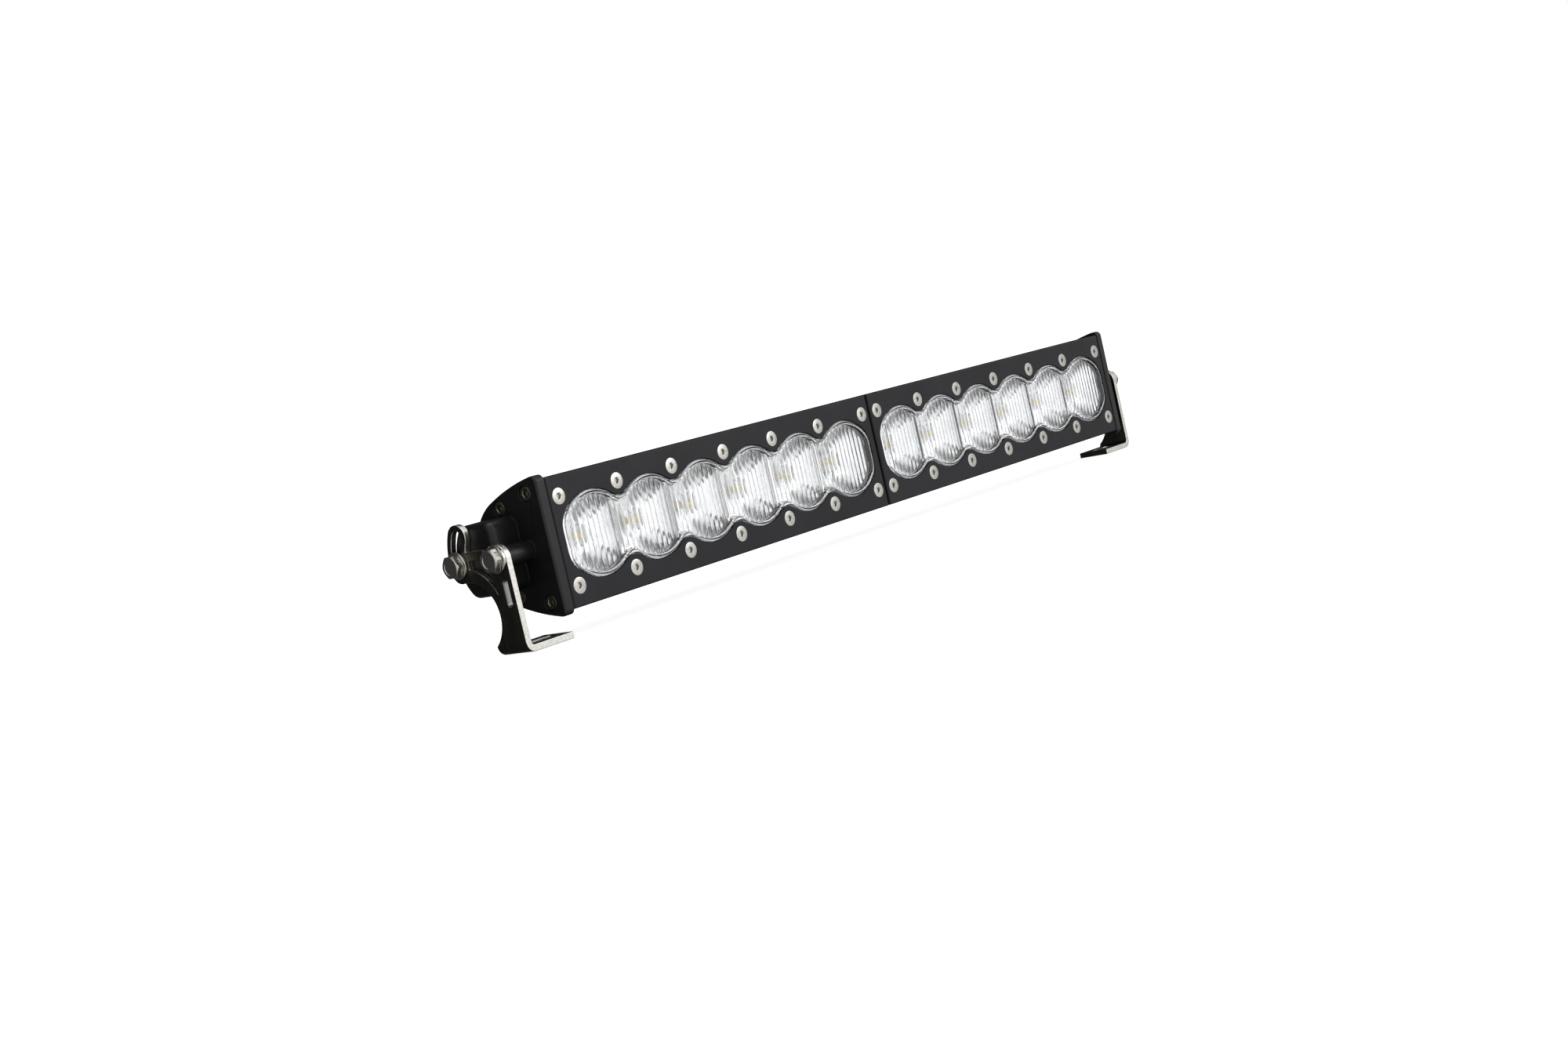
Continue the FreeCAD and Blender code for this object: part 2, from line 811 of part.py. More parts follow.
def cap_plate():
    """D-shaped plate with rounded edges and four counterbored screw holes."""
    body = DOC.addObject("PartDesign::Body", "cap_plate")
    outline = plane_sketch(body, "cap_outline")
    sizes = [dim(f"cap_{part}") for part in ("half_height", "shoulder", "back_radius", "corner")]
    draw_loop(outline, d_outline(0, *sizes))
    slab = pad(body, outline, "size.cap_thickness")
    dress(body, "Chamfer", slab, "size.cap_edge", on_outer_face)
    seats = plane_sketch(body, "screw_seats")
    holes = plane_sketch(body, "screw_holes")
    for y, z in (("front", "high"), ("rear", "low")):
        for sign in ("", "-"):
            centre = (f"size.cap_screw_{y}", f"{sign}size.cap_screw_{z}")
            draw_circle(seats, "size.counterbore_radius", *centre)
            draw_circle(holes, "size.screw_radius + size.fit_gap", *centre)
    pocket(body, seats, "size.counterbore_depth", reverse=True)
    pocket(body, holes, "size.cap_thickness + 1", reverse=True)
    return place(body, x=f"-{CAP_FACE}")


def cap_boss():
    """The lug that stands out of the plate, with a rounded outer end."""
    body = DOC.addObject("PartDesign::Body", "cap_boss")
    outline = plane_sketch(body, "boss_outline")
    draw_loop(outline, boss_outline())
    lug = pad(body, outline, "size.boss_length + size.fit_gap")
    dress(body, "Fillet", lug, "size.boss_edge", on_outer_face)
    return place(body, x=f"-{CAP_FACE} - size.boss_length")


def end_cap():
    """Plate, boss and pivot post in one casting, tapped for the two bracket bolts."""
    start = f"-{CAP_FACE} - size.boss_length"
    post = rod("pivot_post", "size.post_radius", "size.boss_length + size.fit_gap", ALONG_X,
               (start, "size.pivot_place", "0"))
    casting = fuse("cap_casting", cap_plate(), cap_boss(), post)
    radius = "size.bolt_radius + size.thread_gap"
    depth = "size.bolt_reach + 1"
    clamp_place = "size.pivot_place + size.slot_radius"
    tapped = [
        rod(name, radius, depth, ALONG_X, (f"{start} - 1", y, "0"))
        for name, y in (("pivot_thread", "size.pivot_place"), ("clamp_thread", clamp_place))
    ]
    pair(cut("cap_tapped", casting, fuse("cap_threads", *tapped)), "end_cap")


def end_gasket():
    body = DOC.addObject("PartDesign::Body", "end_gasket_body")
    outline = plane_sketch(body, "gasket_outline")
    inset = dim("cap_gasket_inset")
    half_height = dim("bezel_height") / 2 - inset
    shape = d_outline(
        flange_front(), half_height, dim("housing_shoulder"), dim("housing_back_radius") - inset
    )
    draw_loop(outline, shape)
    pad(body, outline, "size.cap_gasket")
    holes = plane_sketch(body, "gasket_holes")
    for y, z in (("front", "high"), ("rear", "low")):
        for sign in ("", "-"):
            centre = (f"size.cap_screw_{y}", f"{sign}size.cap_screw_{z}")
            draw_circle(holes, "size.screw_radius + size.fit_gap", *centre)
    pocket(body, holes, "size.cap_gasket + 1", reverse=True)
    place(body, x=f"-({HALF_BAR} + size.cap_gasket)")
    pair(group("end_gasket_set", body), "end_gasket")


def end_cap_screws():
    seat = dim("counterbore_depth")
    inward = Vector(1, 0, 0)
    screws = []
    for y, z in cap_screw_places():
        top = seat - dim("cap_head_height")
        head = Part.makeCylinder(
            dim("cap_head_radius"), dim("cap_head_height"), Vector(top, y, z), inward
        )
        shank = Part.makeCylinder(
            dim("screw_radius"), dim("cap_screw_length"), Vector(top, y, z), inward
        )
        corner = dim("cap_socket_flats") / math.sqrt(3)
        points = [polar((y, z), corner, 60 * i) for i in range(7)]
        wire = Part.makePolygon([Vector(0, py, pz) for py, pz in points])
        socket = Part.Face(wire).extrude(Vector(top + dim("cap_socket_depth"), 0, 0))
        screws.append(head.fuse(shank).cut(socket))
    pair(feature("end_cap_screws", Part.makeCompound(screws)), "end_cap_screws", f"-{CAP_FACE}")


# Brackets and their bolts.


def bracket_outline():
    """The upright plate, from the pivot lug round the clamp band to the bend."""
    pivot = (dim("pivot_place"), 0)
    lug = dim("lug_radius")
    front = pivot[0] - lug
    band_in = dim("slot_radius") - dim("band_half_width")
    band_out = dim("slot_radius") + dim("band_half_width")
    top_angle = dim("slot_sweep")
    low_angle = -6
    spoke_angle = 15
    bend_top = -dim("axis_height") + dim("bracket_thickness") + dim("bend_inside")
    foot_back = front + dim("foot_width")
    finger = polar(pivot, dim("slot_radius"), top_angle)
    heel = polar(pivot, dim("slot_radius"), low_angle)
    lug_end = polar(pivot, lug, 50)
    heel_end = polar(heel, dim("band_half_width"), low_angle - 90)
    waist = (21.6, -26)
    half = dim("band_half_width")
    return [
        line((front, bend_top), (front, 0)),
        round_arc(pivot, lug, 180, 50),
        line(lug_end, polar(pivot, band_in, spoke_angle)),
        round_arc(pivot, band_in, spoke_angle, top_angle),
        round_arc(finger, half, top_angle + 180, top_angle),
        round_arc(pivot, band_out, top_angle, low_angle),
        round_arc(heel, half, low_angle, low_angle - 90),
        arc(heel_end, waist, (foot_back, bend_top)),
        line((foot_back, bend_top), (front, bend_top)),
    ]


def bracket_openings(sketch):
    """Clamp slot about the pivot, lightening window and narrow slot."""
    pivot = (dim("pivot_place"), 0)
    middle = dim("slot_radius")
    half = dim("slot_half_width")
    low = -0.5
    high = dim("slot_sweep")
    draw_loop(sketch, [
        round_arc(pivot, middle + half, low, high),
        round_arc(polar(pivot, middle, high), half, high, high + 180),
        round_arc(pivot, middle - half, high, low),
        round_arc(polar(pivot, middle, low), half, low - 180, low),
    ])
    front_top = (22.4, 1.2)
    rear_top = (34.4, 1.2)
    rear_low = (34.6, -2.6)
    belly = (25.6, -7.4)
    point = (19.6, -15.6)
    front_low = (20.6, -2.2)
    draw_loop(sketch, [
        line(front_top, rear_top),
        line(rear_top, rear_low),
        arc(rear_low, belly, point),
        line(point, front_low),
        line(front_low, front_top),
    ])
    narrow = 1.7
    top = (13, -11.5)
    low_end = (13, -20.5)
    draw_loop(sketch, [
        round_arc(top, narrow, 0, 180),
        line((top[0] - narrow, top[1]), (low_end[0] - narrow, low_end[1])),
        round_arc(low_end, narrow, 180, 360),
        line((low_end[0] + narrow, low_end[1]), (top[0] + narrow, top[1])),
    ])


def bracket():
    upright = DOC.addObject("PartDesign::Body", "bracket_upright")
    outline = plane_sketch(upright, "bracket_outline")
    draw_loop(outline, bracket_outline())
    pad(upright, outline, "size.bracket_thickness")
    openings = plane_sketch(upright, "bracket_openings")
    bracket_openings(openings)
    pocket(upright, openings, "size.bracket_thickness + 1", reverse=True)
    pivot = plane_sketch(upright, "pivot_hole")
    draw_circle(pivot, "size.bolt_radius + size.pivot_fit", "size.pivot_place", "0")
    pocket(upright, pivot, "size.bracket_thickness + 1", reverse=True)
    place(upright, x=f"-{BRACKET_OUTER}")

    foot = DOC.addObject("PartDesign::Body", "bracket_foot")
    profile = plane_sketch(foot, "foot_profile", "XZ_Plane")
    thick = dim("bracket_thickness")
    inside = dim("bend_inside")
    outside = inside + thick
    floor = -dim("axis_height")
    bend = (outside, floor + outside)
    reach = dim("foot_reach")
    draw_loop(profile, [
        round_arc(bend, outside, 180, 270),
        line((outside, floor), (reach, floor)),
        line((reach, floor), (reach, floor + thick)),
        line((reach, floor + thick), (outside, floor + thick)),
        round_arc(bend, inside, 270, 180),
        line((thick, floor + outside), (0, floor + outside)),
    ])
    pad(foot, profile, "size.foot_width", inward=True)
    place(foot, x=f"-{BRACKET_OUTER}", y="size.pivot_place - size.lug_radius")

    joined = fuse("bracket_joined", upright, foot)
    slot_x = f"-{BRACKET_OUTER} + size.foot_slot_place"
    slot_y = "size.pivot_place - size.lug_radius + size.foot_width / 2"
    half = "(size.foot_slot_length / 2 - size.foot_slot_half_width)"
    radius = "size.foot_slot_half_width"
    below = "-size.axis_height - 1"
    up = Rotation()
    ends = [
        rod(f"slot_end_{name}", radius, "6", up, (f"{slot_x} {sign} {half}", slot_y, below))
        for name, sign in (("outer", "-"), ("inner", "+"))
    ]
    middle = block("slot_middle", (f"2 * {half}", f"2 * {radius}", "6"),
                   (f"{slot_x} - {half}", f"{slot_y} - {radius}", below))
    slot = fuse("foot_slot", middle, *ends)
    pair(cut("bracket_cut", joined, slot), "bracket")


def bracket_bolts():
    """Pivot bolt and clamp bolt, each with a flat washer under its head."""
    face = f"(-{BRACKET_OUTER} - size.bracket_gap)"
    places = (
        ("pivot", "size.pivot_place"),
        ("clamp", "size.pivot_place + size.slot_radius"),
    )
    for name, y in places:
        washer = rod(f"{name}_washer_disc", "size.washer_radius", "size.washer_thickness",
                     ALONG_X, (f"{face} - size.washer_thickness", y, "0"))
        hole = rod(f"{name}_washer_hole", "size.bolt_radius + size.thread_gap", "6",
                   ALONG_X, (f"{face} - 3", y, "0"))
        pair(cut(f"{name}_washer_cut", washer, hole), f"{name}_washer")
        top = f"{face} - size.washer_thickness - size.bolt_head"
        head = hexagon(f"{name}_head", "size.bolt_flats", "size.bolt_head", ALONG_X, (top, y, "0"))
        reach = "size.bolt_head + size.washer_thickness + size.bracket_thickness + size.bolt_reach"
        shank = rod(f"{name}_shank", "size.bolt_radius", reach, ALONG_X, (top, y, "0"))
        pair(fuse(f"{name}_bolt_solid", head, shank), f"{name}_bolt")


def check_document():
    """Stop if any object failed or any sub-part has no valid shape."""
    for item in DOC.Objects:
        if "Invalid" in item.State or "Error" in item.State:
            raise RuntimeError(f"{item.Name} failed: {item.State}")
    for item in NODES:
        if item.Shape.isNull() or not item.Shape.isValid():
            raise RuntimeError(f"{item.Label} has no valid shape")


def write_parts():
    os.makedirs("parts", exist_ok=True)
    for item in NODES:
        item.Shape.exportStep(f"parts/{item.Label}.step")


def main():
    housing()
    bezel()
    lens()
    lens_gasket()
    bezel_screws()
    reflector_tray()
    tray_screws()
    led_board()
    thermal_pad()
    led_chips()
    driver()
    gland_and_vent()
    end_cap()
    end_gasket()
    end_cap_screws()
    bracket()
    bracket_bolts()
    DOC.recompute()
    check_document()
    write_parts()


main()
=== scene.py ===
"""Looks of the LED light bar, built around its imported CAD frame.

Lengths below are in millimetres in the bar's own frame: x along the bar, y back from the front face
of the bezels, z up from the middle of the bar. at() turns such a place into the row's metres.
"""

import math

import bmesh
import bpy
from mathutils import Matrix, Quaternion, Vector

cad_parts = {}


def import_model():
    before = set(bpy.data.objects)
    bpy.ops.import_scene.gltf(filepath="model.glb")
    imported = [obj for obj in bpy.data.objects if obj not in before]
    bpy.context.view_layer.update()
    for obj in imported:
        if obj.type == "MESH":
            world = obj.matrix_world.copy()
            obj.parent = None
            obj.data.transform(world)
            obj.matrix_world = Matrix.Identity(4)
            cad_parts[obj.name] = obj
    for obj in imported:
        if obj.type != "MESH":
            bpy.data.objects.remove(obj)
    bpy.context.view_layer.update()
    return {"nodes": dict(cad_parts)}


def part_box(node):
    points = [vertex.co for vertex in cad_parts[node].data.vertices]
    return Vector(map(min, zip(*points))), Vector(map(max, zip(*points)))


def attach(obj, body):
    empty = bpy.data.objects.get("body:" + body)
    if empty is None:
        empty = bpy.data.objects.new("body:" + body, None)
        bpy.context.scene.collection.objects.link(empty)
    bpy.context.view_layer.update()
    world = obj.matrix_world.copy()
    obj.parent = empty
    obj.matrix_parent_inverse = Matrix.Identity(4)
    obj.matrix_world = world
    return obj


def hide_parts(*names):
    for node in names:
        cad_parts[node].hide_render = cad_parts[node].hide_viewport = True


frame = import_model()

MM = 0.001
SIDES = ("left", "right")
BEZEL_LOW, BEZEL_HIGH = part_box("bezel_left")
FRONT = BEZEL_LOW.y
MIDDLE = (BEZEL_LOW.z + BEZEL_HIGH.z) / 2


# ---------------------------------------------------------------- places and meshes


def at(x, y, z):
    """A place in the bar's frame, in millimetres, as a point of the row in metres."""
    return Vector((x * MM, FRONT + y * MM, MIDDLE + z * MM))


def box_mm(node):
    """Lowest and highest corners of a CAD node, in the bar's frame."""
    low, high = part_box(node)
    shift = Vector((0, FRONT, MIDDLE))
    return (low - shift) / MM, (high - shift) / MM


def centre_mm(node):
    low, high = box_mm(node)
    return (low + high) / 2


def new_piece(name, mesh, body, materials, replaced):
    """A finished piece in the scene, which rides on a body and stands for a CAD node."""
    piece = bpy.data.objects.new(name, mesh)
    bpy.context.scene.collection.objects.link(piece)
    for material in materials:
        mesh.materials.append(material)
    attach(piece, body)
    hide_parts(replaced)
    return piece


def to_mesh(name, bm):
    """Turns a bmesh drawn in millimetres of the bar's frame into a smooth mesh in row metres."""
    for vertex in bm.verts:
        vertex.co = at(*vertex.co)
    bmesh.ops.recalc_face_normals(bm, faces=bm.faces)
    for face in bm.faces:
        face.smooth = True
    mesh = bpy.data.meshes.new(name)
    bm.to_mesh(mesh)
    bm.free()
    return mesh


def mark_sharp(mesh, degrees):
    """Keeps the edges that turn by more than this angle crisp."""
    mesh.set_sharp_from_angle(angle=math.radians(degrees))


def strip(bm, first, second, material=0, closed=True):
    """Quads between two rows of vertices of the same length."""
    count = len(first)
    for i in range(count if closed else count - 1):
        j = (i + 1) % count
        face = bm.faces.new((first[i], first[j], second[j], second[i]))
        face.material_index = material


def cap(bm, ring, material=0):
    face = bm.faces.new(ring)
    face.material_index = material


# ---------------------------------------------------------------- lobed outline of lens and reflector

LOBES = 6
PITCH = 38.1
LOBE_RADIUS = 24.4
LOBE_DROP = 3.81
VALLEY_RADIUS = 8.1
END = 116.2
END_CORNER = 11.4
HALF_PITCH = PITCH / 2
LAST_LOBE = HALF_PITCH * (LOBES - 1)
VALLEY_LIFT = math.sqrt((LOBE_RADIUS + VALLEY_RADIUS) ** 2 - HALF_PITCH**2)
VALLEY_Z = VALLEY_LIFT - LOBE_DROP
LOBE_SHARE = HALF_PITCH / (LOBE_RADIUS + VALLEY_RADIUS)
CORNER_X = END - END_CORNER
CORNER_RISE = math.sqrt((LOBE_RADIUS - END_CORNER) ** 2 - (CORNER_X - LAST_LOBE) ** 2)
CORNER_Z = CORNER_RISE - LOBE_DROP
CORNER_SHARE = (CORNER_X - LAST_LOBE) / (LOBE_RADIUS - END_CORNER)
CORNER_TURNS = 24
TOLERANCE = 0.001


def lobe_centres():
    return [(i - (LOBES - 1) / 2) * PITCH for i in range(LOBES)]


def outline_arc(x, grow):
    """Centre, radius and side of the arc of the grown outline's upper half that crosses x >= 0."""
    lobe = LOBE_RADIUS + grow
    if x > LAST_LOBE + lobe * CORNER_SHARE:
        return (CORNER_X, CORNER_Z), END_CORNER + grow, 1
    centre = HALF_PITCH * (2 * min(int(x // PITCH), LOBES // 2 - 1) + 1)
    offset = x - centre
    if abs(offset) <= lobe * LOBE_SHARE or x > LAST_LOBE:
        return (centre, -LOBE_DROP), lobe, 1
    return (centre + math.copysign(HALF_PITCH, offset), VALLEY_Z), VALLEY_RADIUS - grow, -1


def half_height(x, grow=0.0):
    """Height of the grown outline above the bar's middle at x."""
    (cx, cz), radius, side = outline_arc(abs(x), grow)
    return cz + side * math.sqrt(max(radius**2 - (abs(x) - cx) ** 2, 0))


def outward(x, z, grow):
    """Unit vector (x, z) that points out of the grown outline at a point on it."""
    if abs(x) > END + grow - TOLERANCE:
        return math.copysign(1, x), 0.0
    (cx, cz), radius, side = outline_arc(abs(x), grow)
    out_x = side * (abs(x) - cx) / radius
    out_z = side * (abs(z) - cz) / radius
    return math.copysign(1, x) * out_x, math.copysign(1, z) * out_z


def outline_columns(grow, step):
    """Places along x for a grid that fits the grown outline, closer together round its end corners."""
    straight = 2 * round(CORNER_X / step)
    middle = [CORNER_X * (2 * i / straight - 1) for i in range(straight + 1)]
    right = [
        CORNER_X + (END_CORNER + grow) * math.sin(math.radians(90 * i / CORNER_TURNS))
        for i in range(1, CORNER_TURNS + 1)
    ]
    return [-x for x in reversed(right)] + middle + right


# ---------------------------------------------------------------- turned and hexagonal shapes


def round_ring(radius):
    return lambda angle: radius


def hex_ring(flats, limit=math.inf):
    """Radius of a hexagon by angle, with its corners turned down to a limit."""
    sixth = math.pi / 3

    def radius(angle):
        return min(flats / 2 / math.cos((angle + sixth / 2) % sixth - sixth / 2), limit)

    return radius


def rings_about(bm, base, axis, stations, segments):
    """Rings of vertices about an axis, one for each station (height, radius by angle)."""
    axis = Vector(axis)
    across = Vector((0, 0, 1))
    along = axis.cross(across)
    rings = []
    for height, radius_at in stations:
        ring = []
        for i in range(segments):
            angle = math.tau * i / segments
            spoke = across * math.cos(angle) + along * math.sin(angle)
            ring.append(bm.verts.new(Vector(base) + axis * height + spoke * radius_at(angle)))
        rings.append(ring)
    return rings


def turned(bm, base, axis, stations, segments=48, material=0):
    """A closed turned or hexagonal solid: its stations run from one end to the other."""
    rings = rings_about(bm, base, axis, stations, segments)
    for first, second in zip(rings, rings[1:]):
        strip(bm, first, second, material)
    cap(bm, rings[0], material)
    cap(bm, rings[-1], material)


def turned_ring(bm, base, axis, stations, segments=64, material=0):
    """A closed ring, such as a washer: its stations run once round its section."""
    rings = rings_about(bm, base, axis, stations, segments)
    for first, second in zip(rings, rings[1:] + rings[:1]):
        strip(bm, first, second, material)


EDGE_STEPS = 4
CORNER_STEPS = 6


def socket_screw(bm, base, axis, head, shank, socket, countersunk):
    """A screw with a hexagon socket. head is (radius, height, edge), shank is (radius, length) and
    socket is (flats, depth). The base is the middle of the head's outer face."""
    radius, height, edge = head
    shank_radius, length = shank
    flats, depth = socket
    lead_in = 0.18
    drill_point = 0.5
    brim = 2 * edge if countersunk else height - edge
    stations = [
        (-length, round_ring(shank_radius * 0.8)),
        (0.5 - length, round_ring(shank_radius)),
        (-height, round_ring(shank_radius)),
        (-brim, round_ring(radius)),
    ]
    for i in range(EDGE_STEPS + 1):
        turn = math.radians(90 * i / EDGE_STEPS)
        inset = edge * (1 - math.cos(turn))
        stations.append((edge * (math.sin(turn) - 1), round_ring(radius - inset)))
    stations += [
        (0, hex_ring(flats + 2.4 * lead_in, flats * 0.64)),
        (-lead_in, hex_ring(flats + lead_in, flats * 0.59)),
        (-1.6 * lead_in, hex_ring(flats)),
        (-depth, hex_ring(flats)),
        (-depth - drill_point, round_ring(0.1)),
    ]
    turned(bm, base, axis, stations)


def hex_bolt(bm, base, axis, flats, head, shank):
    """A hexagon-head bolt whose head stands on base, with its corners turned down to a 30 degree cone."""
    shank_radius, length = shank
    corner = flats / math.sqrt(3)
    face_radius = flats * 0.46
    cone = (corner - face_radius) * math.tan(math.radians(30))
    foot = 0.25
    stations = [
        (-length, round_ring(shank_radius * 0.8)),
        (-length + 0.6, round_ring(shank_radius)),
        (0, round_ring(shank_radius)),
        (0.01, round_ring(flats * 0.47)),
        (foot, hex_ring(flats, flats * 0.5)),
        (foot + 0.12, hex_ring(flats, corner)),
    ]
    for i in range(CORNER_STEPS + 1):
        share = i / CORNER_STEPS
        limit = corner + (face_radius - corner) * share
        stations.append((head - cone * (1 - share), hex_ring(flats, limit)))
    stations += [
        (head, round_ring(face_radius * 0.8)),
        (head - 0.22, round_ring(face_radius * 0.72)),
        (head - 0.25, round_ring(0.1)),
    ]
    turned(bm, base, axis, stations, segments=72)


def washer(bm, base, axis, inner, outer, thickness):
    edge = 0.14
    stations = [
        (0, round_ring(inner)),
        (0, round_ring(outer - edge)),
        (edge, round_ring(outer)),
        (thickness - edge, round_ring(outer)),
        (thickness, round_ring(outer - edge)),
        (thickness, round_ring(inner + edge)),
        (thickness - edge, round_ring(inner)),
    ]
    turned_ring(bm, base, axis, stations)


# ---------------------------------------------------------------- procedural materials


def principled(name):
    """A new material with one Principled shader, and its node tree."""
    material = bpy.data.materials.new(name)
    material.use_nodes = True
    tree = material.node_tree
    shader = next(n for n in tree.nodes if n.type == "BSDF_PRINCIPLED")
    return material, tree, shader


def noise(tree, scale, detail=4.0, roughness=0.55, stretch=(1, 1, 1)):
    """Noise in the object's own metres, so that its grain keeps its real size."""
    coordinates = tree.nodes.new("ShaderNodeTexCoord")
    mapping = tree.nodes.new("ShaderNodeMapping")
    mapping.inputs["Scale"].default_value = stretch
    texture = tree.nodes.new("ShaderNodeTexNoise")
    texture.inputs["Scale"].default_value = scale
    texture.inputs["Detail"].default_value = detail
    texture.inputs["Roughness"].default_value = roughness
    tree.links.new(coordinates.outputs["Object"], mapping.inputs["Vector"])
    tree.links.new(mapping.outputs["Vector"], texture.inputs["Vector"])
    return texture.outputs["Fac"]


def ramp(tree, factor, colours):
    """A colour ramp through (place, colour) stops."""
    node = tree.nodes.new("ShaderNodeValToRGB")
    elements = node.color_ramp.elements
    while len(elements) < len(colours):
        elements.new(0.5)
    for element, (place, colour) in zip(elements, colours):
        element.position = place
        element.color = (*colour, 1)
    tree.links.new(factor, node.inputs["Fac"])
    return node.outputs["Color"]


def spread(tree, factor, low, high):
    """Maps the middle of a noise's range onto low..high."""
    node = tree.nodes.new("ShaderNodeMapRange")
    node.inputs["From Min"].default_value = 0.3
    node.inputs["From Max"].default_value = 0.7
    node.inputs["To Min"].default_value = low
    node.inputs["To Max"].default_value = high
    tree.links.new(factor, node.inputs["Value"])
    return node.outputs["Result"]


def bump(tree, shader, height, strength, distance):
    node = tree.nodes.new("ShaderNodeBump")
    node.inputs["Strength"].default_value = strength
    node.inputs["Distance"].default_value = distance * MM
    tree.links.new(height, node.inputs["Height"])
    tree.links.new(node.outputs["Normal"], shader.inputs["Normal"])
    return node


def coated(name, dark, light, rough, metallic=0.0, grain=1800, patch=25, relief=(0.15, 0.05),
           specular=0.5):
    """A finish whose colour and gloss drift slowly over the part and whose grain is fine.

    dark and light are colours, rough is (low, high), and relief is (strength, depth in mm)."""
    material, tree, shader = principled(name)
    drift = noise(tree, patch, detail=3)
    tree.links.new(ramp(tree, drift, [(0.3, dark), (0.7, light)]), shader.inputs["Base Color"])
    tree.links.new(spread(tree, noise(tree, patch * 6), *rough), shader.inputs["Roughness"])
    shader.inputs["Metallic"].default_value = metallic
    shader.inputs["Specular IOR Level"].default_value = specular
    bump(tree, shader, noise(tree, grain, detail=2), *relief)
    return material


def brushed(name, dark, light, rough, stretch, grain=900, relief=(0.12, 0.02)):
    """Bare metal with a directional grain: stretch makes the noise long along the brushing."""
    material, tree, shader = principled(name)
    streaks = noise(tree, grain, detail=5, roughness=0.65, stretch=stretch)
    tree.links.new(ramp(tree, streaks, [(0.3, dark), (0.7, light)]), shader.inputs["Base Color"])
    tree.links.new(spread(tree, streaks, *rough), shader.inputs["Roughness"])
    shader.inputs["Metallic"].default_value = 1.0
    bump(tree, shader, streaks, *relief)
    return material


def clear_lens(name, grain, stretch, relief):
    """Hard-coated polycarbonate with moulding marks. relief is (strength, depth in mm)."""
    material, tree, shader = principled(name)
    shader.inputs["Transmission Weight"].default_value = 1.0
    shader.inputs["IOR"].default_value = 1.5
    haze = noise(tree, 60, detail=3)
    tint = [(0.3, (0.97, 0.985, 1.0)), (0.7, (1.0, 1.0, 1.0))]
    tree.links.new(ramp(tree, haze, tint), shader.inputs["Base Color"])
    tree.links.new(spread(tree, haze, 0.0, 0.03), shader.inputs["Roughness"])
    bump(tree, shader, noise(tree, grain, detail=2, stretch=stretch), *relief)
    return material


def mirror_coat():
    """Vacuum-metallised reflector with a slight orange peel."""
    return coated("mirror_coat", (0.70, 0.71, 0.72), (0.80, 0.80, 0.80), (0.14, 0.22),
                  metallic=1.0, grain=420, patch=60, relief=(0.25, 0.15))


BLACK_ANODISED = coated("black_anodised", (0.007, 0.007, 0.0085), (0.011, 0.011, 0.013), (0.36, 0.44),
                        grain=2600, relief=(0.12, 0.03), specular=0.15)
BLACK_CAST = coated("black_cast", (0.0025, 0.0025, 0.0028), (0.005, 0.005, 0.0053), (0.30, 0.40),
                    grain=1500, relief=(0.25, 0.05), specular=0.26)
GASKET_RUBBER = coated("gasket_rubber", (0.012, 0.012, 0.012), (0.022, 0.022, 0.022), (0.7, 0.85))
STAINLESS = brushed("stainless", (0.38, 0.37, 0.34), (0.54, 0.53, 0.50), (0.20, 0.32), (1, 1, 1))
BRIGHT_STEEL = brushed("bright_steel", (0.44, 0.43, 0.39), (0.62, 0.61, 0.57), (0.08, 0.16), (1, 1, 1))
OLIVE_STEEL = brushed("olive_steel", (0.13, 0.127, 0.10), (0.21, 0.205, 0.165), (0.26, 0.38), (1, 1, 1))
# painted shade: a darker copy of the steel, used only for the wall of the small slot in the bracket's leg
SLOT_SHADE_STEEL = brushed("dark_steel", (0.20, 0.20, 0.19), (0.34, 0.33, 0.31), (0.30, 0.45), (1, 1, 1))
BRACKET_STEEL = brushed("bracket_steel", (0.060, 0.058, 0.049), (0.105, 0.103, 0.088),
                        (0.32, 0.44), (1, 1, 0.08))
# painted highlight: a brighter copy of the bracket's steel, used for every face across the sheet's
# thickness
EDGE_HIGHLIGHT_STEEL = brushed("edge_highlight_steel", (0.50, 0.49, 0.45), (0.70, 0.69, 0.65), (0.22, 0.34), (1, 1, 1))
THERMAL_PAD = coated("thermal_pad", (0.30, 0.36, 0.42), (0.38, 0.44, 0.50), (0.6, 0.8))
BLACK_NYLON = coated("black_nylon", (0.018, 0.018, 0.019), (0.030, 0.030, 0.031), (0.40, 0.55))
BOARD_WHITE = coated("board_white", (0.78, 0.79, 0.78), (0.88, 0.88, 0.86), (0.30, 0.42))
BOARD_GREEN = coated("board_green", (0.02, 0.10, 0.05), (0.03, 0.15, 0.07), (0.30, 0.42))
ELECTRONICS = coated("electronics", (0.02, 0.02, 0.025), (0.06, 0.06, 0.07), (0.35, 0.55), patch=90)
LEAD_WIRE = coated("lead_wire", (0.35, 0.02, 0.02), (0.45, 0.04, 0.03), (0.35, 0.50))
CERAMIC = coated("led_ceramic", (0.74, 0.73, 0.70), (0.84, 0.83, 0.80), (0.35, 0.50), patch=300)
PHOSPHOR = coated("led_phosphor", (0.80, 0.62, 0.16), (0.92, 0.76, 0.28), (0.12, 0.22), patch=500)
MIRROR = mirror_coat()
LENS = clear_lens("clear_lens", 900, (1, 1, 1), (0.04, 0.01))
LENS_OPTICS = clear_lens("lens_optics", 620, (1, 1, 0.12), (0.12, 0.12))

NODE_FINISH = {
    "housing": BLACK_ANODISED,
    "gland_body": BLACK_NYLON,
    "gland_nut": BLACK_NYLON,
    "gland_seal": GASKET_RUBBER,
    "breather_vent": BLACK_NYLON,
    "lens_gasket": GASKET_RUBBER,
    "led_board": BOARD_WHITE,
    "tray_screws": BRIGHT_STEEL,
    "thermal_pad": THERMAL_PAD,
    "driver_board": BOARD_GREEN,
    "driver_parts": ELECTRONICS,
    "board_leads": LEAD_WIRE,
    "end_gasket": GASKET_RUBBER,
}


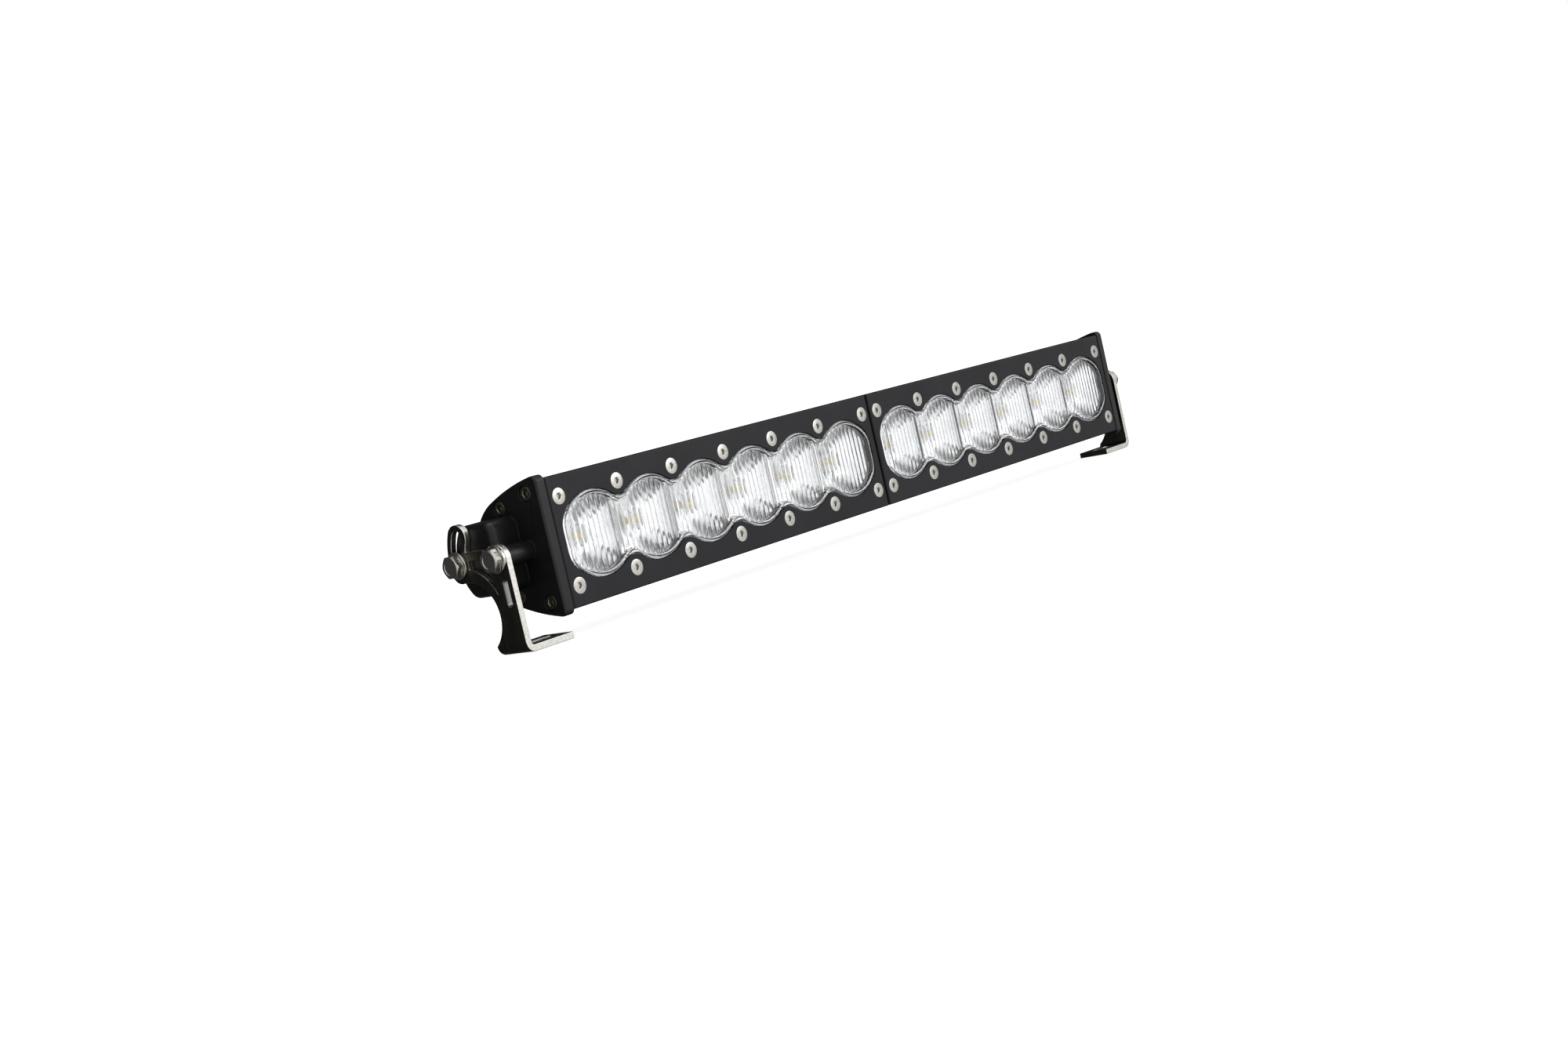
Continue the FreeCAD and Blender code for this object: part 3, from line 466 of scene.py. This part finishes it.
def finish_nodes():
    """Gives every CAD node that stays in view its material."""
    for name, node in frame["nodes"].items():
        base = name.removesuffix("_left").removesuffix("_right")
        if base in NODE_FINISH:
            node.data.materials.clear()
            node.data.materials.append(NODE_FINISH[base])


# ---------------------------------------------------------------- softened copies of CAD nodes


WELD_DISTANCE = 0.002 * MM
FLAT_TURN = math.radians(0.4)
EDGE_TURN = math.radians(32)


def softened(node, body, material, width, split=False):
    """A copy of a CAD node with its sharp edges rounded by width, which stands for it.

    split keeps faces with many openings in triangles, which the rounding handles better."""
    bm = bmesh.new()
    bm.from_mesh(frame["nodes"][node].data)
    bmesh.ops.remove_doubles(bm, verts=bm.verts, dist=WELD_DISTANCE)
    bmesh.ops.dissolve_limit(bm, angle_limit=FLAT_TURN, verts=bm.verts, edges=bm.edges)
    if split:
        bmesh.ops.triangulate(bm, faces=[face for face in bm.faces if len(face.verts) > 4])
    for face in bm.faces:
        face.smooth = True
    mesh = bpy.data.meshes.new(node)
    bm.to_mesh(mesh)
    bm.free()
    piece = new_piece(f"{node}_soft", mesh, body, [material], node)
    bevel = piece.modifiers.new("edges", "BEVEL")
    bevel.width = width * MM
    bevel.segments = 3
    bevel.limit_method = "ANGLE"
    bevel.angle_limit = EDGE_TURN
    bevel.use_clamp_overlap = False
    bevel.miter_outer = "MITER_ARC"
    weights = piece.modifiers.new("normals", "WEIGHTED_NORMAL")
    weights.keep_sharp = False
    weights.weight = 80
    return piece


BRACKET_EDGE = 0.3
BEND_TOP = 4.8 * MM
LEG_SLOT = (13, -16)
LEG_SLOT_REACH = (2.4, 7.4)


def bracket(side):
    """One bent bracket: dark faces, cut edges in a brighter copy of its steel as a painted highlight, and
    a darker copy as painted shade on the cut edge in its small slot.
    """
    name = f"bracket_{side}"
    piece = softened(name, name, BRACKET_STEEL, BRACKET_EDGE)
    for material in (EDGE_HIGHLIGHT_STEEL, SLOT_SHADE_STEEL):
        piece.data.materials.append(material)
    for face in piece.data.polygons:
        if is_cut_edge(face):
            # cut edges take the brighter steel as a painted highlight, and the leg slot's wall the darker
            # steel as painted shade
            face.material_index = 2 if in_leg_slot(face.center) else 1


def in_leg_slot(place):
    """True for a place on the wall of the small slot in the bracket's leg."""
    across = (place.y - FRONT) / MM - LEG_SLOT[0]
    up = (place.z - MIDDLE) / MM - LEG_SLOT[1]
    return abs(across) < LEG_SLOT_REACH[0] and abs(up) < LEG_SLOT_REACH[1]


def is_cut_edge(face):
    """True for a face across the sheet's thickness. Below BEND_TOP the sheet turns in to the foot."""
    if face.center.z > BEND_TOP:
        return abs(face.normal.x) < 0.5
    return abs(face.normal.y) > 0.5


# ---------------------------------------------------------------- lenses

LENS_FRONT = 0.8
LENS_WALL = 2.6
LENS_FIT = 0.2
FLANGE_FRONT = 4.0
FLANGE_BACK = 6.0
FLANGE_END = 118.5
FLANGE_TOP = 24.8
FLANGE_CHAMFER = 0.3
RIM_WIDTH = 2.6
GROOVE_WIDTH = 0.55
GROOVE_DEPTH = 0.5
BEAD_RISE = 0.65
BEAD_STEPS = 12
COLUMN_STEP = 0.3
GRID_ROWS = 36
FLUTE_PITCH = PITCH / 12
FLUTE_DEPTH = 0.44
FLUTE_FADE = 0.9


def bulge(x, pitch):
    """A row of arches of height 1, each one pitch wide."""
    phase = (x / pitch) % 1 - 0.5
    return 1 - 4 * phase * phase


def flute(x, z, grow):
    """How far the lens's flutes stand out behind its window.

    They fade out at the window's edge, so that the rim in front of it stays smooth."""
    fade = min(1, (half_height(x, grow) - abs(z)) / FLUTE_FADE)
    return FLUTE_DEPTH * bulge(x, FLUTE_PITCH) * fade


def grid(bm, middle, grow, depth_at, material=0):
    """Vertices by column and row over the grown outline about middle, at the depth that depth_at gives."""
    columns = []
    for x in outline_columns(grow, COLUMN_STEP):
        top = half_height(x, grow)
        heights = [top * (2 * i / GRID_ROWS - 1) for i in range(GRID_ROWS + 1)]
        columns.append([bm.verts.new((middle + x, depth_at(x, z), z)) for z in heights])
    for first, second in zip(columns, columns[1:]):
        strip(bm, first, second, material, closed=False)
    return columns


def perimeter(columns):
    """The grid's edge vertices in order round it."""
    bottom = [column[0] for column in columns]
    right = columns[-1][1:]
    top = [column[-1] for column in reversed(columns)][1:]
    left = columns[0][-2:0:-1]
    return bottom + right + top + left


def offset_loop(bm, edge, middle, grow, offset, depth):
    """A copy of the edge loop, pushed out along the outline's own normals."""
    loop = []
    for vertex in edge:
        x, z = vertex.co.x - middle, vertex.co.z
        out_x, out_z = outward(x, z, grow)
        loop.append(bm.verts.new((middle + x + out_x * offset, depth, z + out_z * offset)))
    return loop


def flange_loop(bm, edge, middle, grow, depth):
    """The lens flange's rectangle, with a vertex for each one of the edge loop."""
    end = END + grow
    end_height = half_height(end, grow)
    loop = []
    for vertex in edge:
        x, z = vertex.co.x - middle, vertex.co.z
        if abs(x) > end - TOLERANCE:
            place = (math.copysign(FLANGE_END, x), z * FLANGE_TOP / end_height)
        else:
            place = (x * FLANGE_END / end, math.copysign(FLANGE_TOP, z))
        loop.append(bm.verts.new((middle + place[0], depth, place[1])))
    return loop


def rim_section():
    """(offset, depth) from the window's edge down a groove, over a round bead and down to the flange."""
    foot = LENS_FRONT + GROOVE_DEPTH
    bead_radius = (RIM_WIDTH - GROOVE_WIDTH) / 2
    section = [(GROOVE_WIDTH * 0.25, LENS_FRONT + GROOVE_DEPTH * 0.2), (GROOVE_WIDTH * 0.6, foot)]
    for i in range(BEAD_STEPS + 1):
        turn = math.pi * i / BEAD_STEPS
        offset = GROOVE_WIDTH + bead_radius * (1 - math.cos(turn))
        section.append((offset, foot - (GROOVE_DEPTH + BEAD_RISE) * math.sin(turn)))
    section.append((RIM_WIDTH, FLANGE_FRONT))
    return section


def lens(side):
    """The lens: a smooth window and rim in front, fluted optics behind, and its clamped flange."""
    middle = centre_mm(f"lens_{side}").x
    grow = -LENS_FIT - RIM_WIDTH
    bm = bmesh.new()
    back_depth = LENS_FRONT + LENS_WALL
    back = perimeter(grid(bm, middle, grow, lambda x, z: back_depth + flute(x, z, grow), material=1))
    front = offset_loop(bm, back, middle, grow, 0.0, LENS_FRONT)
    cap(bm, front)
    loops = [front]
    loops += [offset_loop(bm, front, middle, grow, offset, depth) for offset, depth in rim_section()]
    loops += [flange_loop(bm, front, middle, grow, depth) for depth in (FLANGE_FRONT, FLANGE_BACK)]
    loops += [offset_loop(bm, front, middle, grow, FLANGE_CHAMFER, FLANGE_BACK)]
    loops += [offset_loop(bm, front, middle, grow, 0.0, FLANGE_BACK - FLANGE_CHAMFER)]
    loops += [back]
    for first, second in zip(loops, loops[1:]):
        strip(bm, first, second)
    mesh = to_mesh(f"lens_{side}", bm)
    mark_sharp(mesh, 25)
    new_piece(f"lens_{side}_fluted", mesh, "bar", [LENS, LENS_OPTICS], f"lens_{side}")


# ---------------------------------------------------------------- reflectors and LEDs

TRAY_FRONT = 7.4
TRAY_BACK = 19.4
# how far each outline grows past the lens opening, and the gap between neighbours
TRAY_OUTLINE = (0.4, 0.3)
CUP_OUTLINE = (-1.0, 1.7)
TRAY_STEP = 0.15
CUP_THROAT = 5.0
CUP_BACK = 18.9
CUP_STEPS = 22
CUP_EDGE = 0.3
SPOKES = 160
SHELL_WALL = 0.15
HALVINGS = 22


def inside_cell(x, z, centre, grow, gap):
    """True if a place lies in one cup's part of the grown outline, gap away from the next part."""
    low = centre - HALF_PITCH + gap / 2
    high = centre + HALF_PITCH - gap / 2
    if centre < -LAST_LOBE + 1:
        low = -END - grow
    if centre > LAST_LOBE - 1:
        high = END + grow
    return low < x < high and abs(z) < half_height(x, grow)


def cell_reach(centre, angle, grow, gap):
    """Distance from a cup's middle to the edge of its part of the tray."""
    near, far = CUP_THROAT, 2 * PITCH
    for _ in range(HALVINGS):
        middle = (near + far) / 2
        x, z = centre + middle * math.cos(angle), middle * math.sin(angle)
        if inside_cell(x, z, centre, grow, gap):
            near = middle
        else:
            far = middle
    return near


def cup_section(centre, angle):
    """(radius, depth) up a parabolic cup from its throat, then over the dark plate to its outer wall."""
    section = []
    reach = cell_reach(centre, angle, *CUP_OUTLINE)
    outer = cell_reach(centre, angle, *TRAY_OUTLINE)
    edge = reach - CUP_EDGE
    for i in range(CUP_STEPS + 1):
        radius = CUP_THROAT + (edge - CUP_THROAT) * i / CUP_STEPS
        share = (radius**2 - CUP_THROAT**2) / (edge**2 - CUP_THROAT**2)
        section.append((radius, CUP_BACK + (TRAY_FRONT - CUP_BACK) * share))
    section += [(reach, TRAY_FRONT), (outer, TRAY_FRONT + TRAY_STEP), (outer, TRAY_BACK)]
    return section


def reflector(side):
    """Six metallised cups, each one wide enough to fill its part of the lobed opening."""
    middle = centre_mm(f"reflector_tray_{side}").x
    bm = bmesh.new()
    for centre in lobe_centres():
        spokes = []
        for i in range(SPOKES):
            angle = math.tau * i / SPOKES
            spokes.append([
                bm.verts.new((
                    middle + centre + radius * math.cos(angle), depth, radius * math.sin(angle)
                ))
                for radius, depth in cup_section(centre, angle)
            ])
        for first, second in zip(spokes, spokes[1:] + spokes[:1]):
            strip(bm, first[:-2], second[:-2], closed=False)
            strip(bm, first[-3:], second[-3:], material=1, closed=False)
    mesh = to_mesh(f"reflector_{side}", bm)
    mark_sharp(mesh, 35)
    name = f"reflector_tray_{side}"
    piece = new_piece(f"{name}_cups", mesh, "bar", [MIRROR, BLACK_NYLON], name)
    shell = piece.modifiers.new("shell", "SOLIDIFY")
    shell.thickness = SHELL_WALL * MM
    shell.offset = -1


CHIP_WIDTH = 5.0
CHIP_EDGE = 0.2
DOME_RADIUS = 2.0
DOME_STEPS = 8
DOME_TURN = 88


def emitters(side):
    """LED packages: a ceramic base and a dome in the yellow of the phosphor."""
    low, high = box_mm(f"led_chips_{side}")
    middle = (low.x + high.x) / 2
    height = high.y - low.y
    chip_top = height * 0.7
    chip = [
        (0, square_ring(CHIP_WIDTH)),
        (height * 0.6, square_ring(CHIP_WIDTH)),
        (chip_top, square_ring(CHIP_WIDTH - CHIP_EDGE)),
        (chip_top, round_ring(DOME_RADIUS)),
    ]
    dome = []
    for i in range(DOME_STEPS + 1):
        turn = math.radians(DOME_TURN * i / DOME_STEPS)
        dome.append((chip_top + DOME_RADIUS * math.sin(turn), round_ring(DOME_RADIUS * math.cos(turn))))
    bm = bmesh.new()
    for centre in lobe_centres():
        base = (middle + centre, high.y, 0)
        turned(bm, base, (0, -1, 0), chip, material=0)
        turned(bm, base, (0, -1, 0), dome, material=1)
    mesh = to_mesh(f"emitters_{side}", bm)
    mark_sharp(mesh, 40)
    name = f"led_chips_{side}"
    new_piece(f"{name}_domes", mesh, "bar", [CERAMIC, PHOSPHOR], name)


def square_ring(width):
    """Radius of a square by angle, with slightly cut corners."""
    quarter = math.pi / 2

    def radius(angle):
        flat = width / 2 / math.cos((angle + quarter / 2) % quarter - quarter / 2)
        return min(flat, width * 0.66)

    return radius


# ---------------------------------------------------------------- screws, bolts and washers

SCREW_ROW = 20.8
CAP_SCREWS = ((8.8, 25.3), (28, 20.8))

# (radius, height, edge), (radius, length) and (flats, depth) of the M4 screws
LENS_SCREW_HEAD = (3.9, 1.95, 0.12)
LENS_SCREW_SHANK = (1.95, 17)
LENS_SCREW_SOCKET = (2.5, 1.6)
CAP_SCREW_HEAD = (3.5, 3, 0.45)
CAP_SCREW_SHANK = (1.95, 13)
CAP_SCREW_SOCKET = (3, 2)

BOLT_FLATS = 10
BOLT_HEAD = 4
BOLT_RADIUS = 3
WASHER_INNER = 3.05
WASHER_OUTER = 6.4


def bezel_screws(side):
    """Fourteen countersunk socket screws along one bezel."""
    name = f"bezel_screws_{side}"
    middle = centre_mm(name).x
    bm = bmesh.new()
    for column in range(-LOBES // 2, LOBES // 2 + 1):
        for z in (-SCREW_ROW, SCREW_ROW):
            base = (middle + column * PITCH, 0, z)
            socket_screw(bm, base, (0, -1, 0), LENS_SCREW_HEAD, LENS_SCREW_SHANK,
                         LENS_SCREW_SOCKET, True)
    mesh = to_mesh(name, bm)
    mark_sharp(mesh, 30)
    new_piece(f"{name}_heads", mesh, "bar", [STAINLESS], name)


def cap_screws(side, outwards):
    """Four socket cap screws in one end cap. outwards is the sign of x that the cap faces."""
    name = f"end_cap_screws_{side}"
    low, high = box_mm(name)
    top = high.x if outwards > 0 else low.x
    bm = bmesh.new()
    for y, z in CAP_SCREWS:
        for height in (-z, z):
            base = (top, y, height)
            socket_screw(bm, base, (outwards, 0, 0), CAP_SCREW_HEAD, CAP_SCREW_SHANK,
                         CAP_SCREW_SOCKET, False)
    mesh = to_mesh(name, bm)
    mark_sharp(mesh, 30)
    new_piece(f"{name}_heads", mesh, "bar", [OLIVE_STEEL], name)


def bracket_bolt(kind, side, outwards):
    """The pivot or clamp bolt of one bracket, and its washer."""
    washer_name = f"{kind}_washer_{side}"
    low, high = box_mm(washer_name)
    middle = (low + high) / 2
    seat = low.x if outwards > 0 else high.x
    axis = (outwards, 0, 0)
    bm = bmesh.new()
    washer(bm, (seat, middle.y, middle.z), axis, WASHER_INNER, WASHER_OUTER, high.x - low.x)
    mesh = to_mesh(washer_name, bm)
    mark_sharp(mesh, 40)
    new_piece(f"{washer_name}_disc", mesh, "bar", [BRIGHT_STEEL], washer_name)

    name = f"{kind}_bolt_{side}"
    low, high = box_mm(name)
    length = high.x - low.x - BOLT_HEAD
    foot = (high.x if outwards > 0 else low.x) - outwards * BOLT_HEAD
    bm = bmesh.new()
    hex_bolt(bm, (foot, middle.y, middle.z), axis, BOLT_FLATS, BOLT_HEAD, (BOLT_RADIUS, length))
    mesh = to_mesh(name, bm)
    mark_sharp(mesh, 25)
    new_piece(f"{name}_hex", mesh, "bar", [BRIGHT_STEEL], name)


# ---------------------------------------------------------------- studio

CAMERA_PLACE = Vector((-0.879, -0.712, 0.099))
CAMERA_AZIMUTH = 49.0
CAMERA_TILT = -4.2
CAMERA_ROLL = 12.95
CAMERA_LENS = 47.56


def camera():
    """Camera at the low, near end of the bar, leaning to one side."""
    data = bpy.data.cameras.new("camera")
    data.lens = CAMERA_LENS
    data.clip_start = 0.01
    data.clip_end = 100
    eye = bpy.data.objects.new("camera", data)
    bpy.context.scene.collection.objects.link(eye)
    azimuth, tilt = math.radians(CAMERA_AZIMUTH), math.radians(CAMERA_TILT)
    look = Vector((math.sin(azimuth) * math.cos(tilt), math.cos(azimuth) * math.cos(tilt), math.sin(tilt)))
    lean = Quaternion((0, 0, 1), math.radians(-CAMERA_ROLL))
    eye.location = CAMERA_PLACE
    eye.rotation_mode = "QUATERNION"
    eye.rotation_quaternion = look.to_track_quat("-Z", "Y") @ lean
    bpy.context.scene.camera = eye


def area_light(name, place, target, size, power):
    data = bpy.data.lights.new(name, "AREA")
    data.shape = "RECTANGLE"
    data.size, data.size_y = size
    data.energy = power
    lamp = bpy.data.objects.new(name, data)
    bpy.context.scene.collection.objects.link(lamp)
    lamp.location = place
    lamp.rotation_mode = "QUATERNION"
    lamp.rotation_quaternion = (Vector(target) - Vector(place)).to_track_quat("-Z", "Y")


FLOOR_HALF = 30
FLOOR_GAP = 0.2 * MM


def floor():
    """A wide pale floor under the object, which its glossy faces don't mirror."""
    bm = bmesh.new()
    bmesh.ops.create_grid(bm, x_segments=12, y_segments=12, size=FLOOR_HALF)
    mesh = bpy.data.meshes.new("floor")
    bm.to_mesh(mesh)
    bm.free()
    material = coated("floor_white", (0.58, 0.58, 0.58), (0.62, 0.62, 0.62), (0.75, 0.85),
                      grain=300, patch=2, relief=(0.02, 0.05))
    shader = next(n for n in material.node_tree.nodes if n.type == "BSDF_PRINCIPLED")
    shader.inputs["Specular IOR Level"].default_value = 0.1
    shader.inputs["Emission Color"].default_value = (1, 1, 1, 1)
    shader.inputs["Emission Strength"].default_value = 0.88
    mesh.materials.append(material)
    plane = bpy.data.objects.new("floor", mesh)
    bpy.context.scene.collection.objects.link(plane)
    plane.location.z = -FLOOR_GAP
    plane.visible_glossy = False


def world():
    """White to the camera, but for the object a broad soft light in front that falls off behind."""
    scene = bpy.context.scene
    scene.world = bpy.data.worlds.new("studio")
    scene.world.use_nodes = True
    tree = scene.world.node_tree
    background = tree.nodes["Background"]
    background.inputs["Color"].default_value = (1, 1, 1, 1)
    coordinates = tree.nodes.new("ShaderNodeTexCoord")
    towards = tree.nodes.new("ShaderNodeVectorMath")
    towards.operation = "DOT_PRODUCT"
    towards.inputs[1].default_value = (-0.10, -0.90, 0.36)
    tree.links.new(coordinates.outputs["Generated"], towards.inputs[0])
    shade = tree.nodes.new("ShaderNodeMapRange")
    shade.inputs["From Min"].default_value = -0.25
    shade.inputs["From Max"].default_value = 0.62
    shade.inputs["To Min"].default_value = 0.06
    shade.inputs["To Max"].default_value = 1.25
    tree.links.new(towards.outputs["Value"], shade.inputs["Value"])
    seen = tree.nodes.new("ShaderNodeLightPath")
    mix = tree.nodes.new("ShaderNodeMix")
    mix.inputs["B"].default_value = 1.0
    tree.links.new(seen.outputs["Is Camera Ray"], mix.inputs["Factor"])
    tree.links.new(shade.outputs["Result"], mix.inputs["A"])
    tree.links.new(mix.outputs["Result"], background.inputs["Strength"])


def studio():
    scene = bpy.context.scene
    scene.view_settings.view_transform = "Standard"
    world()
    floor()
    area_light("key", (0.7, -1.6, 1.2), (0, 0, 0.04), (1.2, 0.8), 5)
    area_light("near_end", (0.42, -0.80, 0.26), (-0.25, 0, 0.04), (0.5, 0.4), 1.3)
    area_light("top", (0.0, -0.2, 1.8), (0, 0, 0.04), (2.0, 0.8), 8)
    camera()


# ---------------------------------------------------------------- the light bar


HOUSING_EDGE = 0.18
BEZEL_EDGE = 0.22
CAP_EDGE = 0.22


def build():
    finish_nodes()
    softened("housing", "bar", BLACK_ANODISED, HOUSING_EDGE, split=True)
    for side, outwards in zip(SIDES, (-1, 1)):
        softened(f"bezel_{side}", "bar", BLACK_ANODISED, BEZEL_EDGE)
        softened(f"end_cap_{side}", "bar", BLACK_CAST, CAP_EDGE, split=True)
        bracket(side)
        lens(side)
        reflector(side)
        emitters(side)
        bezel_screws(side)
        cap_screws(side, outwards)
        bracket_bolt("pivot", side, outwards)
        bracket_bolt("clamp", side, outwards)


build()
studio()
